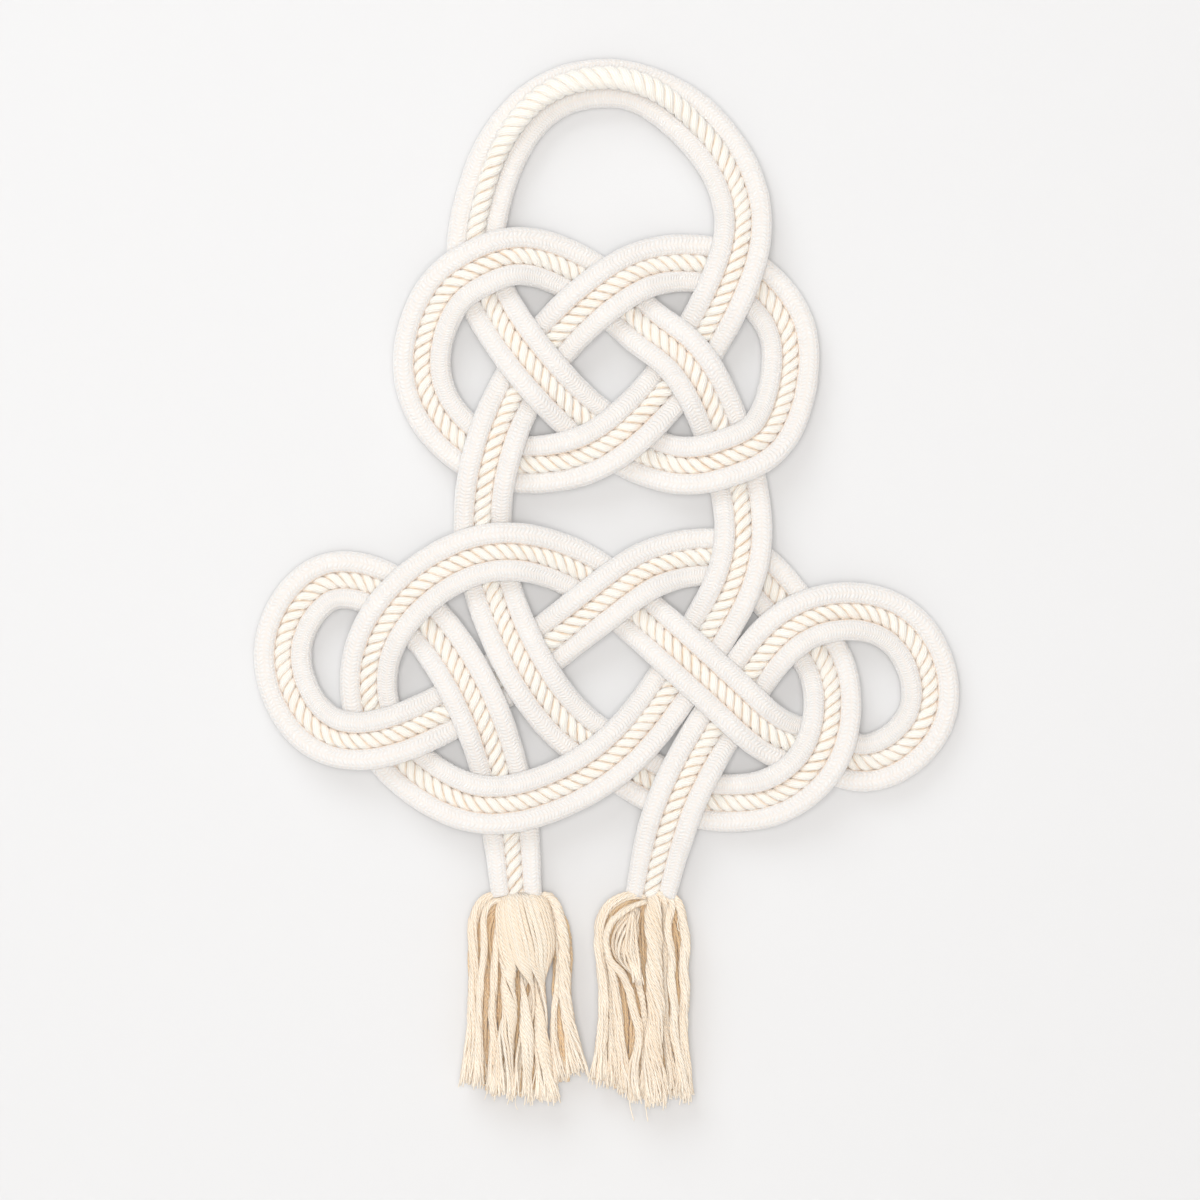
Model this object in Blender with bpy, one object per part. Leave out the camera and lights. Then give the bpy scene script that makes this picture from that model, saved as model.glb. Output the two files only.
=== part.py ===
"""A wall hanging knotted from a flat band of three cotton ropes, with a tassel at each end.

Metres, +Z up. The wall is the plane y = 0 and the hanging's front faces -Y. The origin is
on the wall behind the middle of the top edge, where the hanging is held.
"""

import math

import bmesh
import bpy
import numpy as np

MM = 0.001

# The band: two braided ropes with a twisted one, the core, between them.
BRAID_RADIUS = 8.8 * MM
CORE_RADIUS = 7.0 * MM
ROPE_GAP = 0.3 * MM
CROSSING_GAP = 0.5 * MM
SIDE_OFFSET = BRAID_RADIUS + CORE_RADIUS + ROPE_GAP
SECTION_STEP = 17.5 * MM
BRAID_SIDES = 8
CORE_SIDES = 6

# At the top of the hanging loop the inner rope is drawn in by this share of the outer one's
# pull, and the core, squeezed out in front of both, swells by this share of the pull.
INNER_PULL = 0.15
CORE_SWELL = 0.6
UNSQUEEZED = 0.98

# Near a tassel the whole band narrows by this share, over this length.
END_TAPER = 0.13
TAPER_LENGTH = 60 * MM

# The ropes' depth in front of the wall is found by turns: the ropes are straightened, less and
# less stiffly, and then pushed apart where they cross.
SETTLE_TURNS = 260
FIRST_STIFFNESS = 0.9
LAST_STIFFNESS = 0.02
FALL_BACK = 0.995
PUSHES = 6
PUSH_STRENGTH = 1.6
POINTS_PER_SECTION = 4
SAME_STRETCH = 90 * MM
ROPE_END_DEPTH = 16.0 * MM

SPLINE_READINGS = 20000
SHARP_ANGLE = math.radians(50)

# Where the band crosses itself: millimetres across (right) and up from the hanging point.
CROSSINGS = {
    "top1": (-114, -183),
    "top2": (110, -185),
    "top3": (-2, -203),
    "top4": (68, -264),
    "top5": (-66, -267),
    "top6": (5, -332),
    "top7": (108, -347),
    "top8": (-102, -348),
    "low1": (-108, -432),
    "low2": (115, -440),
    "low3": (4, -467),
    "low4": (-180, -475),
    "low5": (167, -493),
    "low6": (71, -526),
    "low7": (-74, -527),
    "low8": (-118, -557),
    "low9": (109, -561),
    "low10": (-197, -593),
    "low11": (187, -605),
    "low12": (3, -610),
    "low13": (62, -643),
    "low14": (-89, -651),
}

# The band's way from the left tassel to the right one, through bends and over or under itself.
# Where a bend has a third value, the pull of the loop has drawn the outer rope behind the core,
# to that share of its usual distance.
ROUTE = (
    ("bend", (-80, -731)),
    ("under", "low14"),
    ("over", "low8"),
    ("under", "low4"),
    ("bend", (-230, -455)),
    ("bend", (-259, -465)),
    ("bend", (-285, -516)),
    ("bend", (-257, -583)),
    ("over", "low10"),
    ("under", "low8"),
    ("under", "low7"),
    ("over", "low3"),
    ("bend", (46, -442)),
    ("under", "low2"),
    ("under", "low5"),
    ("bend", (194, -540)),
    ("over", "low11"),
    ("bend", (153, -640)),
    ("bend", (118, -650)),
    ("under", "low13"),
    ("under", "low12"),
    ("bend", (-35, -581)),
    ("over", "low7"),
    ("under", "low1"),
    ("over", "top8"),
    ("under", "top5"),
    ("over", "top3"),
    ("bend", (48, -179)),
    ("under", "top2"),
    ("bend", (146, -215)),
    ("bend", (160, -255)),
    ("bend", (142, -325)),
    ("over", "top7"),
    ("bend", (67, -355)),
    ("under", "top6"),
    ("over", "top5"),
    ("under", "top1"),
    ("bend", (-112, -131), 0.95),
    ("bend", (-95, -79), 0.85),
    ("bend", (-60, -34), 0.60),
    ("bend", (-16, -17), 0.55),
    ("bend", (28, -21), 0.55),
    ("bend", (72, -50), 0.95),
    ("bend", (105, -92)),
    ("bend", (118, -136)),
    ("over", "top2"),
    ("under", "top4"),
    ("over", "top6"),
    ("bend", (-44, -352)),
    ("under", "top8"),
    ("bend", (-148, -312)),
    ("bend", (-163, -261)),
    ("bend", (-144, -206)),
    ("over", "top1"),
    ("bend", (-70, -172)),
    ("under", "top3"),
    ("bend", (34, -235)),
    ("over", "top4"),
    ("under", "top7"),
    ("over", "low2"),
    ("under", "low6"),
    ("over", "low12"),
    ("over", "low14"),
    ("bend", (-147, -639)),
    ("under", "low10"),
    ("bend", (-209, -533)),
    ("over", "low4"),
    ("over", "low1"),
    ("bend", (-43, -439)),
    ("under", "low3"),
    ("over", "low6"),
    ("over", "low9"),
    ("bend", (148, -593)),
    ("under", "low11"),
    ("bend", (229, -615)),
    ("bend", (275, -583)),
    ("bend", (279, -532)),
    ("bend", (243, -489)),
    ("over", "low5"),
    ("under", "low9"),
    ("over", "low13"),
    ("bend", (37, -732)),
)

# The tassels. Each head is a stack of rings: how far below its top a ring lies, its left and
# right edges from the tassel's axis, and how far its front stands before its middle (mm).
# Each lock: its middle at the head's foot, half way down and at its tip, how far its tip
# lies below the head's top, and the gap on its right (mm).
TASSELS = {
    "tassel_left": {
        "axis": (-80, -731.3),
        "rings": (
            # drop, left, right, front
            (0, -26, 26, 10),
            (4, -37, 34, 15),
            (14, -42, 37, 18),
            (26, -44, 41, 19),
            (40, -44, 45, 17),
        ),
        "locks": (
            # foot, half way, tip, drop, gap
            (-38.5, -39.5, -47, 170, 0.6),
            (-29, -30.5, -36, 170, 3.5),
            (-18, -21, -21, 175, 0.6),
            (-7, -9, -9, 177, 0.6),
            (4.5, 5, 6, 181, 1.2),
            (16.5, 18, 21, 178, 3.0),
            (29, 33, 36, 172, 0.6),
            (40, 45, 51, 165, 0.6),
        ),
    },
    "tassel_right": {
        "axis": (37, -732.3),
        "rings": (
            (0, -27, 26, 10),
            (4, -43, 30, 15),
            (14, -47, 33, 18),
            (26, -48, 34, 19),
            (40, -48, 35, 17),
        ),
        "locks": (
            (-42.5, -43.5, -46, 170, 1.6),
            (-32, -32.5, -34, 175, 0.6),
            (-22, -21, -22, 178, 1.2),
            (-11, -10, -11, 180, 0.6),
            (2, 2, 2, 184, 0.6),
            (15.5, 15.5, 16, 178, 1.2),
            (27.5, 28.5, 28.5, 176, 0.6),
        ),
    },
}
TASSEL_DEPTH = 20.0 * MM
LOCK_LEVELS = (52, 66, 84, 104, 126, 148)
LOCK_GAP = 0.5 * MM
GAP_OPENING = 18 * MM
WAVE_SIZE = 0.9 * MM
WAVE_TURN = 9.0
WAVE_SHIFT = 1.7
WELD = 0.001 * MM


def clear_scene():
    for thing in list(bpy.data.objects):
        bpy.data.objects.remove(thing, do_unlink=True)


def fabric(name, colour, roughness):
    """A plain cotton material."""
    material = bpy.data.materials.new(name)
    material.use_nodes = True
    shader = material.node_tree.nodes["Principled BSDF"]
    shader.inputs["Base Color"].default_value = (*colour, 1.0)
    shader.inputs["Roughness"].default_value = roughness
    shader.inputs["Metallic"].default_value = 0.0
    material.diffuse_color = (*colour, 1.0)
    return material


def route_points():
    """The route's points in metres with the squeeze there, and each crossing's place among them."""
    points = []
    squeeze = []
    passes = {name: [] for name in CROSSINGS}
    for kind, where, *squeezed in ROUTE:
        if kind != "bend":
            passes[where].append((len(points), kind))
            where = CROSSINGS[where]
        points.append((where[0] * MM, where[1] * MM))
        squeeze.append(squeezed[0] if squeezed else 1.0)
    return np.array(points), np.array(squeeze), passes


def spline(points):
    """Natural cubic spline through the points: their parameters and a function to read it."""
    knots = np.concatenate([[0.0], np.cumsum(np.linalg.norm(np.diff(points, axis=0), axis=1) ** 0.5)])
    spans = np.diff(knots)
    count = len(points)
    system = np.eye(count)
    pull = np.zeros((count, points.shape[1]))
    for i in range(1, count - 1):
        system[i, i - 1:i + 2] = spans[i - 1], 2 * (spans[i - 1] + spans[i]), spans[i]
        pull[i] = 6 * ((points[i + 1] - points[i]) / spans[i] - (points[i] - points[i - 1]) / spans[i - 1])
    bend = np.linalg.solve(system, pull)

    def read(at):
        k = np.clip(np.searchsorted(knots, at) - 1, 0, count - 2)
        b = ((at - knots[k]) / spans[k])[:, None]
        a = 1 - b
        push = (a ** 3 - a) * bend[k] + (b ** 3 - b) * bend[k + 1]
        return a * points[k] + b * points[k + 1] + push * (spans[k] ** 2 / 6)[:, None]

    return knots, read


def band_sections(step):
    """Centres, sideways directions and squeeze of the band at even steps, and its crossings.

    A crossing is the two distances along the band that meet there, the lower one first,
    and +1 where the first passes over, -1 where it passes under.
    """
    points, squeeze, passes = route_points()
    knots, read = spline(points)
    fine = np.linspace(0.0, knots[-1], SPLINE_READINGS)
    places = read(fine)
    along = np.concatenate([[0.0], np.cumsum(np.linalg.norm(np.diff(places, axis=0), axis=1))])
    count = round(along[-1] / step) + 1
    stations = np.linspace(0.0, along[-1], count)
    centres = np.stack([np.interp(stations, along, places[:, k]) for k in (0, 1)], axis=1)
    ahead = np.gradient(centres, axis=0)
    ahead /= np.linalg.norm(ahead, axis=1)[:, None]
    ahead[0] = (0.0, 1.0)
    ahead[-1] = (0.0, -1.0)
    sideways = np.stack([-ahead[:, 1], ahead[:, 0]], axis=1)
    crossings = []
    for (first, kind), (second, _) in passes.values():
        distances = np.interp([knots[first], knots[second]], fine, along)
        crossings.append((*distances, 1.0 if kind == "over" else -1.0))
    squeezed = np.interp(stations, np.interp(knots, fine, along), squeeze)
    return stations, centres, sideways, squeezed, np.array(crossings)


def contacts(stations, lines, radii, squeezed, crossings):
    """Every pair of points of two ropes that lie over each other.

    Gives each fine point's section and part of the way to the next, the rope and point of
    the over one and of the under one, and the depth that must part them.
    """
    substeps = np.arange((len(stations) - 1) * POINTS_PER_SECTION + 1) / POINTS_PER_SECTION
    section = np.minimum(substeps.astype(int), len(stations) - 2)
    part = substeps - section
    where = stations[section] * (1 - part) + stations[section + 1] * part
    fine = [line[section] * (1 - part)[:, None] + line[section + 1] * part[:, None] for line in lines]
    size = radii[:, section] * (1 - part) + radii[:, section + 1] * part
    over, under, needed = [], [], []
    for j, one in enumerate(fine):
        for k, other in enumerate(fine):
            reach = size[j][:, None] + size[k][None, :] + CROSSING_GAP
            flat = np.hypot(*(one[:, None, :] - other[None, :, :]).transpose(2, 0, 1))
            near = (flat < reach) & (where[None, :] - where[:, None] > SAME_STRETCH)
            a, b = np.nonzero(near)
            miss = np.abs(where[a][:, None] - crossings[:, 0]) + np.abs(where[b][:, None] - crossings[:, 1])
            first_over = crossings[miss.argmin(axis=1), 2] > 0
            first = np.stack([np.full(len(a), j), a], axis=1)
            second = np.stack([np.full(len(b), k), b], axis=1)
            over.append(np.where(first_over[:, None], first, second))
            under.append(np.where(first_over[:, None], second, first))
            needed.append(np.sqrt(reach[a, b] ** 2 - flat[a, b] ** 2))
    tight = np.nonzero(np.interp(where, stations, squeezed) < UNSQUEEZED)[0]
    for side in (0, 2):
        reach = size[1][tight][:, None] + size[side][tight][None, :] + ROPE_GAP
        flat = np.hypot(*(fine[1][tight][:, None, :] - fine[side][tight][None, :, :]).transpose(2, 0, 1))
        a, b = np.nonzero(flat < reach)
        over.append(np.stack([np.full(len(a), 1), tight[a]], axis=1))
        under.append(np.stack([np.full(len(b), side), tight[b]], axis=1))
        needed.append(np.sqrt(reach[a, b] ** 2 - flat[a, b] ** 2))
    return section, part, np.concatenate(over), np.concatenate(under), np.concatenate(needed)


def settle(stations, lines, radii, squeezed, crossings):
    """Depth of each rope in front of the wall, as stiff as rope and nowhere through another."""
    section, part, over, under, needed = contacts(stations, lines, radii, squeezed, crossings)
    count = len(stations)
    bend = np.diff(np.eye(count), n=2, axis=0)
    floor = radii
    depth = floor.copy()
    ends = np.zeros(count, bool)
    ends[[0, 1, -2, -1]] = True

    def read(who):
        rope, sub = who.T
        i, t = section[sub], part[sub]
        return depth[rope, i] * (1 - t) + depth[rope, i + 1] * t

    def push(who, by, total, weight):
        rope, sub = who.T
        i, t = section[sub], part[sub]
        for place, share in ((i, 1 - t), (i + 1, t)):
            np.add.at(total, (rope, place), by * share)
            np.add.at(weight, (rope, place), share * (np.abs(by) > 0))

    for turn in range(SETTLE_TURNS):
        stiffness = FIRST_STIFFNESS * (LAST_STIFFNESS / FIRST_STIFFNESS) ** (turn / (SETTLE_TURNS - 1))
        straighten = np.linalg.inv(np.eye(count) + stiffness * bend.T @ bend)
        depth = floor + (depth - floor) @ straighten * FALL_BACK
        for _ in range(PUSHES):
            short = np.maximum(needed - (read(over) - read(under)), 0.0)
            total = np.zeros_like(depth)
            weight = np.zeros_like(depth)
            push(over, short * 0.5, total, weight)
            push(under, -short * 0.5, total, weight)
            depth += total / np.maximum(weight, 1.0) * PUSH_STRENGTH
            depth = np.maximum(depth, floor)
            depth[:, ends] = ROPE_END_DEPTH
    return depth


def tube(name, centres, sideways, radii, sides, material):
    """A rope's closed tube through its section centres."""
    chords = np.diff(centres, axis=0)
    chords /= np.linalg.norm(chords, axis=1)[:, None]
    ahead = np.concatenate([[(0.0, 0.0, 1.0)], chords[:-1] + chords[1:], [(0.0, 0.0, -1.0)]])
    ahead /= np.linalg.norm(ahead, axis=1)[:, None]
    mesh = bmesh.new()
    rings = []
    for centre, forward, side, radius in zip(centres, ahead, sideways, radii):
        side = side - forward * (side @ forward)
        side /= np.linalg.norm(side)
        front = np.cross(forward, side)
        ring = []
        for k in range(sides):
            angle = 2 * math.pi * k / sides
            spot = centre + radius * (math.cos(angle) * side + math.sin(angle) * front)
            ring.append(mesh.verts.new(spot))
        rings.append(ring)
    for lower, upper in zip(rings, rings[1:]):
        for k in range(sides):
            n = (k + 1) % sides
            mesh.faces.new((lower[k], lower[n], upper[n], upper[k]))
    mesh.faces.new(rings[0])
    mesh.faces.new(rings[-1])
    return finish(name, mesh, material)


def finish(name, mesh, material):
    """Turn a bmesh into a named object with its material."""
    bmesh.ops.recalc_face_normals(mesh, faces=mesh.faces)
    data = bpy.data.meshes.new(name)
    mesh.to_mesh(data)
    mesh.free()
    data.shade_smooth()
    data.set_sharp_from_angle(angle=SHARP_ANGLE)
    data.materials.append(material)
    thing = bpy.data.objects.new(name, data)
    bpy.context.scene.collection.objects.link(thing)
    return thing


def build_ropes():
    """The three ropes of the band."""
    stations, centres, sideways, squeezed, crossings = band_sections(SECTION_STEP)
    from_end = np.minimum(stations, stations[-1] - stations)
    taper = 1 - END_TAPER * np.clip(1 - from_end / TAPER_LENGTH, 0.0, 1.0)
    braids = BRAID_RADIUS * taper
    radii = np.array([braids, CORE_RADIUS * taper * (1 + CORE_SWELL * (1 - squeezed)), braids])
    offsets = (
        -SIDE_OFFSET * taper * (1 - INNER_PULL * (1 - squeezed)),
        np.zeros(len(stations)),
        SIDE_OFFSET * taper * squeezed,
    )
    lines = [centres + sideways * offset[:, None] for offset in offsets]
    depth = settle(stations, lines, radii, squeezed, crossings)
    braid = fabric("braided_cotton", (0.80, 0.75, 0.67), 0.9)
    core = fabric("twisted_cotton", (0.80, 0.74, 0.64), 0.9)
    across = np.stack([sideways[:, 0], np.zeros(len(sideways)), sideways[:, 1]], axis=1)
    ropes = (("braided_rope_1", BRAID_SIDES, braid), ("twisted_rope", CORE_SIDES, core),
             ("braided_rope_2", BRAID_SIDES, braid))
    for (name, sides, material), line, deep, sizes in zip(ropes, lines, depth, radii):
        path = np.stack([line[:, 0], -deep, line[:, 1]], axis=1)
        tube(name, path, across, sizes, sides, material)


class Tassel:
    """The sizes of one tassel, read off its table."""

    def __init__(self, table):
        self.across, self.top = (value * MM for value in table["axis"])
        self.rings = np.array(table["rings"]) * MM
        self.locks = np.array(table["locks"]) * MM
        self.foot = self.rings[-1, 0]
        self.low = self.locks[:, 3].max()

    def middles(self, drop):
        """Middle of each lock at a drop below the head's top."""
        foot, half, tip = self.locks[:, :3].T
        t = (drop - self.foot) / (self.low - self.foot)
        path = foot * (1 - t) * (1 - 2 * t) + half * 4 * t * (1 - t) + tip * t * (2 * t - 1)
        order = np.arange(len(path))
        return path + WAVE_SIZE * t * np.sin(WAVE_TURN * t + WAVE_SHIFT * order)

    def edges(self, drop):
        """Edges between the locks, or between their ridges on the head."""
        middles = self.middles(max(drop, self.foot))
        inner = (middles[:-1] + middles[1:]) / 2
        edges = np.concatenate([[2 * middles[0] - inner[0]], inner, [2 * middles[-1] - inner[-1]]])
        if drop >= self.foot:
            return edges, middles
        left, right = (np.interp(drop, self.rings[:, 0], self.rings[:, k]) for k in (1, 2))
        return tuple(left + (spots - edges[0]) / (edges[-1] - edges[0]) * (right - left)
                     for spots in (edges, middles))

    def front(self, drop, across, edges):
        """Depth from the tassel's middle to its face, less towards its sides."""
        full = np.interp(drop, self.rings[:, 0], self.rings[:, 3])
        side = 2 * (across - edges[0]) / (edges[-1] - edges[0]) - 1
        return full * (0.5 + 0.5 * math.sqrt(max(0.0, 1 - side * side)))

    def cell(self, lock, row, drop, gap=(0.0, 0.0)):
        """Left, outer, right and inner corner of a lock: row is -1 in front and 1 behind."""
        edges, middles = self.edges(drop)
        left, middle, right = edges[lock], middles[lock], edges[lock + 1]
        trim = LOCK_GAP if gap[0] or gap[1] else 0.0
        corners = (
            (left + gap[0], self.front(drop, left, edges) / 2),
            (middle, self.front(drop, middle, edges) - trim),
            (right - gap[1], self.front(drop, right, edges) / 2),
            (middle, trim),
        )
        return [(self.across + x, row * y - TASSEL_DEPTH, self.top - drop) for x, y in corners]

    def gaps(self, lock, drop):
        """Half the gap on the left and on the right of a lock, opening below the head."""
        opened = min(1.0, (drop - self.foot) / GAP_OPENING)
        wanted = (self.locks[lock - 1, 4] if lock else LOCK_GAP, self.locks[lock, 4])
        return [max(LOCK_GAP, LOCK_GAP + (gap - LOCK_GAP) * opened) / 2 for gap in wanted]


def build_tassel(name, table, material):
    """A tassel's head, with its locks drawn out of the head's foot."""
    tassel = Tassel(table)
    locks = range(len(tassel.locks))
    mesh = bmesh.new()
    points = {}

    def vertex(place):
        key = tuple(round(value / WELD) for value in place)
        if key not in points:
            points[key] = mesh.verts.new(place)
        return points[key]

    def flat_cells(drop):
        """Faces that fill a ring, but for the locks' own cells."""
        first, last = tassel.cell(0, -1, drop), tassel.cell(locks[-1], -1, drop)
        first_back, last_back = tassel.cell(0, 1, drop), tassel.cell(locks[-1], 1, drop)
        yield first[0], first[3], first_back[0]
        yield last[2], last_back[2], last[3]
        for lock in locks[:-1]:
            front, back = tassel.cell(lock, -1, drop), tassel.cell(lock, 1, drop)
            yield front[3], front[2], tassel.cell(lock + 1, -1, drop)[3], back[2]

    def face(places):
        mesh.faces.new([vertex(place) for place in places])

    def outline(drop):
        front = [spot for lock in locks for spot in tassel.cell(lock, -1, drop)[:2]]
        front.append(tassel.cell(locks[-1], -1, drop)[2])
        back = [spot for lock in locks for spot in tassel.cell(lock, 1, drop)[:2]]
        back.append(tassel.cell(locks[-1], 1, drop)[2])
        return front + back[::-1]

    outlines = [outline(drop) for drop in tassel.rings[:, 0]]
    for upper, lower in zip(outlines, outlines[1:]):
        for k in range(len(upper)):
            n = (k + 1) % len(upper)
            face((upper[k], upper[n], lower[n], lower[k]))
    for drop in (0.0, tassel.foot):
        for places in flat_cells(drop):
            face(places)
    for lock in locks:
        for row in (-1, 1):
            face(tassel.cell(lock, row, 0.0))
            drops = [tassel.foot, *(level * MM for level in LOCK_LEVELS), tassel.locks[lock, 3]]
            rings = [tassel.cell(lock, row, tassel.foot)]
            rings += [tassel.cell(lock, row, drop, tassel.gaps(lock, drop)) for drop in drops]
            for upper, lower in zip(rings, rings[1:]):
                for k in range(4):
                    n = (k + 1) % 4
                    face((upper[k], upper[n], lower[n], lower[k]))
            face(rings[-1])
    return finish(name, mesh, material)


def build_tassels():
    cotton = fabric("unlaid_cotton", (0.78, 0.66, 0.48), 0.95)
    for name, table in TASSELS.items():
        build_tassel(name, table, cotton)


def main():
    clear_scene()
    build_ropes()
    build_tassels()


main()
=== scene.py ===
import math

import bpy
import numpy as np
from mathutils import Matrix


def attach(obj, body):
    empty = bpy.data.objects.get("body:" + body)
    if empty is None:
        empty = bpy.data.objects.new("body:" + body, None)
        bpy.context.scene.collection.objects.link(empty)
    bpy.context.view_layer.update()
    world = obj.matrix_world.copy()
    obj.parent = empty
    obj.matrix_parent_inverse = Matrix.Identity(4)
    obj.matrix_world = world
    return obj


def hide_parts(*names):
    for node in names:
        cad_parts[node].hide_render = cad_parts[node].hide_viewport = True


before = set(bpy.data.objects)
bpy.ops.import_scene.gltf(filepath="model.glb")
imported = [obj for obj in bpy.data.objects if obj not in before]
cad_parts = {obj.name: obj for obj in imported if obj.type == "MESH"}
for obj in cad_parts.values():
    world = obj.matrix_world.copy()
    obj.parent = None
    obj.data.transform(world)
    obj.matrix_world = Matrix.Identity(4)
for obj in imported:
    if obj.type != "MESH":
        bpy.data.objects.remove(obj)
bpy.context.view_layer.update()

mm = 0.001
scene = bpy.context.scene
print("frame loaded")

# the camera, the wall and the light

photo = {
    "middleAcross": -7.0 * mm,  # where the middle of the picture falls on the wall
    "middleUp": -472.5 * mm,
    "width": 1.05,  # how much of the wall the picture takes in
    "distance": 4.2,
    "focusDepth": 0.02,  # how far before the wall that width is measured
    "sensor": 36.0,
    "farthest": 50,
    "gamma": 1.3,  # an airy, pale picture
}

room = {
    "width": 9.0,
    "wallTop": 3.0,
    "floorLevel": -1.35,
    "floorLength": 6.0,
    "coveRadius": 0.25,
    "coveSteps": 12,
    "behind": 7 * mm,  # the hanging stands off the wall a little
    "wallColour": (0.695, 0.695, 0.695),
    "wallRoughness": 0.95,
    "wallGloss": 0.1,
    "worldColour": (1.0, 0.955, 0.925),
    "worldStrength": 0.345,
}

lamps = {
    # name: (place, what it points at, size, power, colour)
    "window": ((-1.9, -3.9, 3.3), (0.0, 0.0, -0.45), 4.4, 138.0, (0.91, 0.958, 1.0)),
    "front": ((-0.1, -4.9, -0.5), (0.0, 0.0, -0.55), 1.6, 138.0, (1.0, 0.972, 0.95)),
}


def addCamera():
    data = bpy.data.cameras.new("camera")
    data.sensor_width = photo["sensor"]
    data.lens = photo["sensor"] * (photo["distance"] - photo["focusDepth"]) / photo["width"]
    data.clip_end = photo["farthest"]
    camera = bpy.data.objects.new("camera", data)
    camera.location = (photo["middleAcross"], -photo["distance"], photo["middleUp"])
    camera.rotation_euler = (math.radians(90), 0, 0)
    scene.collection.objects.link(camera)
    scene.camera = camera


def addLamps():
    for name, (place, target, size, power, colour) in lamps.items():
        data = bpy.data.lights.new(name, "AREA")
        data.shape = "DISK"
        data.size = size
        data.energy = power
        data.color = colour
        lamp = bpy.data.objects.new(name, data)
        lamp.location = place
        aim = np.array(target) - np.array(place)
        across = math.atan2(aim[1], aim[0]) - math.pi / 2
        down = math.acos(-aim[2] / np.linalg.norm(aim))
        lamp.rotation_euler = (down, 0, across)
        scene.collection.objects.link(lamp)
    world = bpy.data.worlds.new("studio")
    world.use_nodes = True
    sky = world.node_tree.nodes["Background"]
    sky.inputs["Color"].default_value = (*room["worldColour"], 1)
    sky.inputs["Strength"].default_value = room["worldStrength"]
    scene.world = world


def addWall():
    # the wall, a cove and the floor in one sheet, seen from the front only
    half, radius, steps = room["width"] / 2, room["coveRadius"], room["coveSteps"]
    back, floor = room["behind"], room["floorLevel"]
    outline = [(back, room["wallTop"]), (back, floor + radius)]
    for k in range(1, steps + 1):
        turn = math.pi / 2 * k / steps
        outline.append((back - radius * (1 - math.cos(turn)), floor + radius * (1 - math.sin(turn))))
    outline.append((-room["floorLength"], floor))
    points = [(x, y, z) for y, z in outline for x in (-half, half)]
    faces = [(k, k + 1, k + 3, k + 2) for k in range(0, len(points) - 2, 2)]
    data = bpy.data.meshes.new("wall")
    data.from_pydata(points, [], faces)
    data.shade_smooth()
    wall = bpy.data.objects.new("wall", data)
    scene.collection.objects.link(wall)
    paint = bpy.data.materials.new("wallPaint")
    paint.use_nodes = True
    nodes, links = paint.node_tree.nodes, paint.node_tree.links
    surface = nodes["Principled BSDF"]
    surface.inputs["Base Color"].default_value = (*room["wallColour"], 1)
    surface.inputs["Roughness"].default_value = room["wallRoughness"]
    surface.inputs["Specular IOR Level"].default_value = room["wallGloss"]
    clear = nodes.new("ShaderNodeBsdfTransparent")
    mix = nodes.new("ShaderNodeMixShader")
    side = nodes.new("ShaderNodeNewGeometry")
    links.new(side.outputs["Backfacing"], mix.inputs["Fac"])
    links.new(surface.outputs["BSDF"], mix.inputs[1])
    links.new(clear.outputs["BSDF"], mix.inputs[2])
    links.new(mix.outputs["Shader"], nodes["Material Output"].inputs["Surface"])
    data.materials.append(paint)
    if data.polygons[0].normal.y > 0:
        data.flip_normals()


scene.view_settings.view_transform = "Standard"
scene.view_settings.gamma = photo["gamma"]
addCamera()
addLamps()
addWall()
print("camera, light and wall made")

# the way of the band of three ropes

# where the band crosses itself, in mm across and up from the hanging point
crossingPlaces = {
    "top1": (-114, -183), "top2": (110, -185), "top3": (-2, -203), "top4": (68, -264),
    "top5": (-66, -267), "top6": (5, -332), "top7": (108, -347), "top8": (-102, -348),
    "low1": (-108, -432), "low2": (115, -440), "low3": (4, -467), "low4": (-180, -475),
    "low5": (167, -493), "low6": (71, -526), "low7": (-74, -527), "low8": (-118, -557),
    "low9": (109, -561), "low10": (-197, -593), "low11": (187, -605), "low12": (3, -610),
    "low13": (62, -643), "low14": (-89, -651),
}

# from the left tassel to the right one: bends, and crossings by name. A bend's third value is
# how near the loop's pull has drawn the outer rope to the core
route = (
    (-80, -731), ("under", "low14"), ("over", "low8"), ("under", "low4"), (-230, -455),
    (-259, -465), (-285, -516), (-257, -583), ("over", "low10"), ("under", "low8"),
    ("under", "low7"), ("over", "low3"), (46, -442), ("under", "low2"), ("under", "low5"),
    (194, -540), ("over", "low11"), (153, -640), (118, -650), ("under", "low13"),
    ("under", "low12"), (-35, -581), ("over", "low7"), ("under", "low1"), ("over", "top8"),
    ("under", "top5"), ("over", "top3"), (48, -179), ("under", "top2"), (146, -215), (160, -255),
    (142, -325), ("over", "top7"), (67, -355), ("under", "top6"), ("over", "top5"),
    ("under", "top1"), (-112, -131, 0.95), (-95, -79, 0.85), (-60, -34, 0.60), (-16, -17, 0.55),
    (28, -21, 0.55), (72, -50, 0.95), (105, -92), (118, -136), ("over", "top2"), ("under", "top4"),
    ("over", "top6"), (-44, -352), ("under", "top8"), (-148, -312), (-163, -261), (-144, -206),
    ("over", "top1"), (-70, -172), ("under", "top3"), (34, -235), ("over", "top4"),
    ("under", "top7"), ("over", "low2"), ("under", "low6"), ("over", "low12"), ("over", "low14"),
    (-147, -639), ("under", "low10"), (-209, -533), ("over", "low4"), ("over", "low1"), (-43, -439),
    ("under", "low3"), ("over", "low6"), ("over", "low9"), (148, -593), ("under", "low11"),
    (229, -615), (275, -583), (279, -532), (243, -489), ("over", "low5"), ("under", "low9"),
    ("over", "low13"), (37, -732),
)

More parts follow.
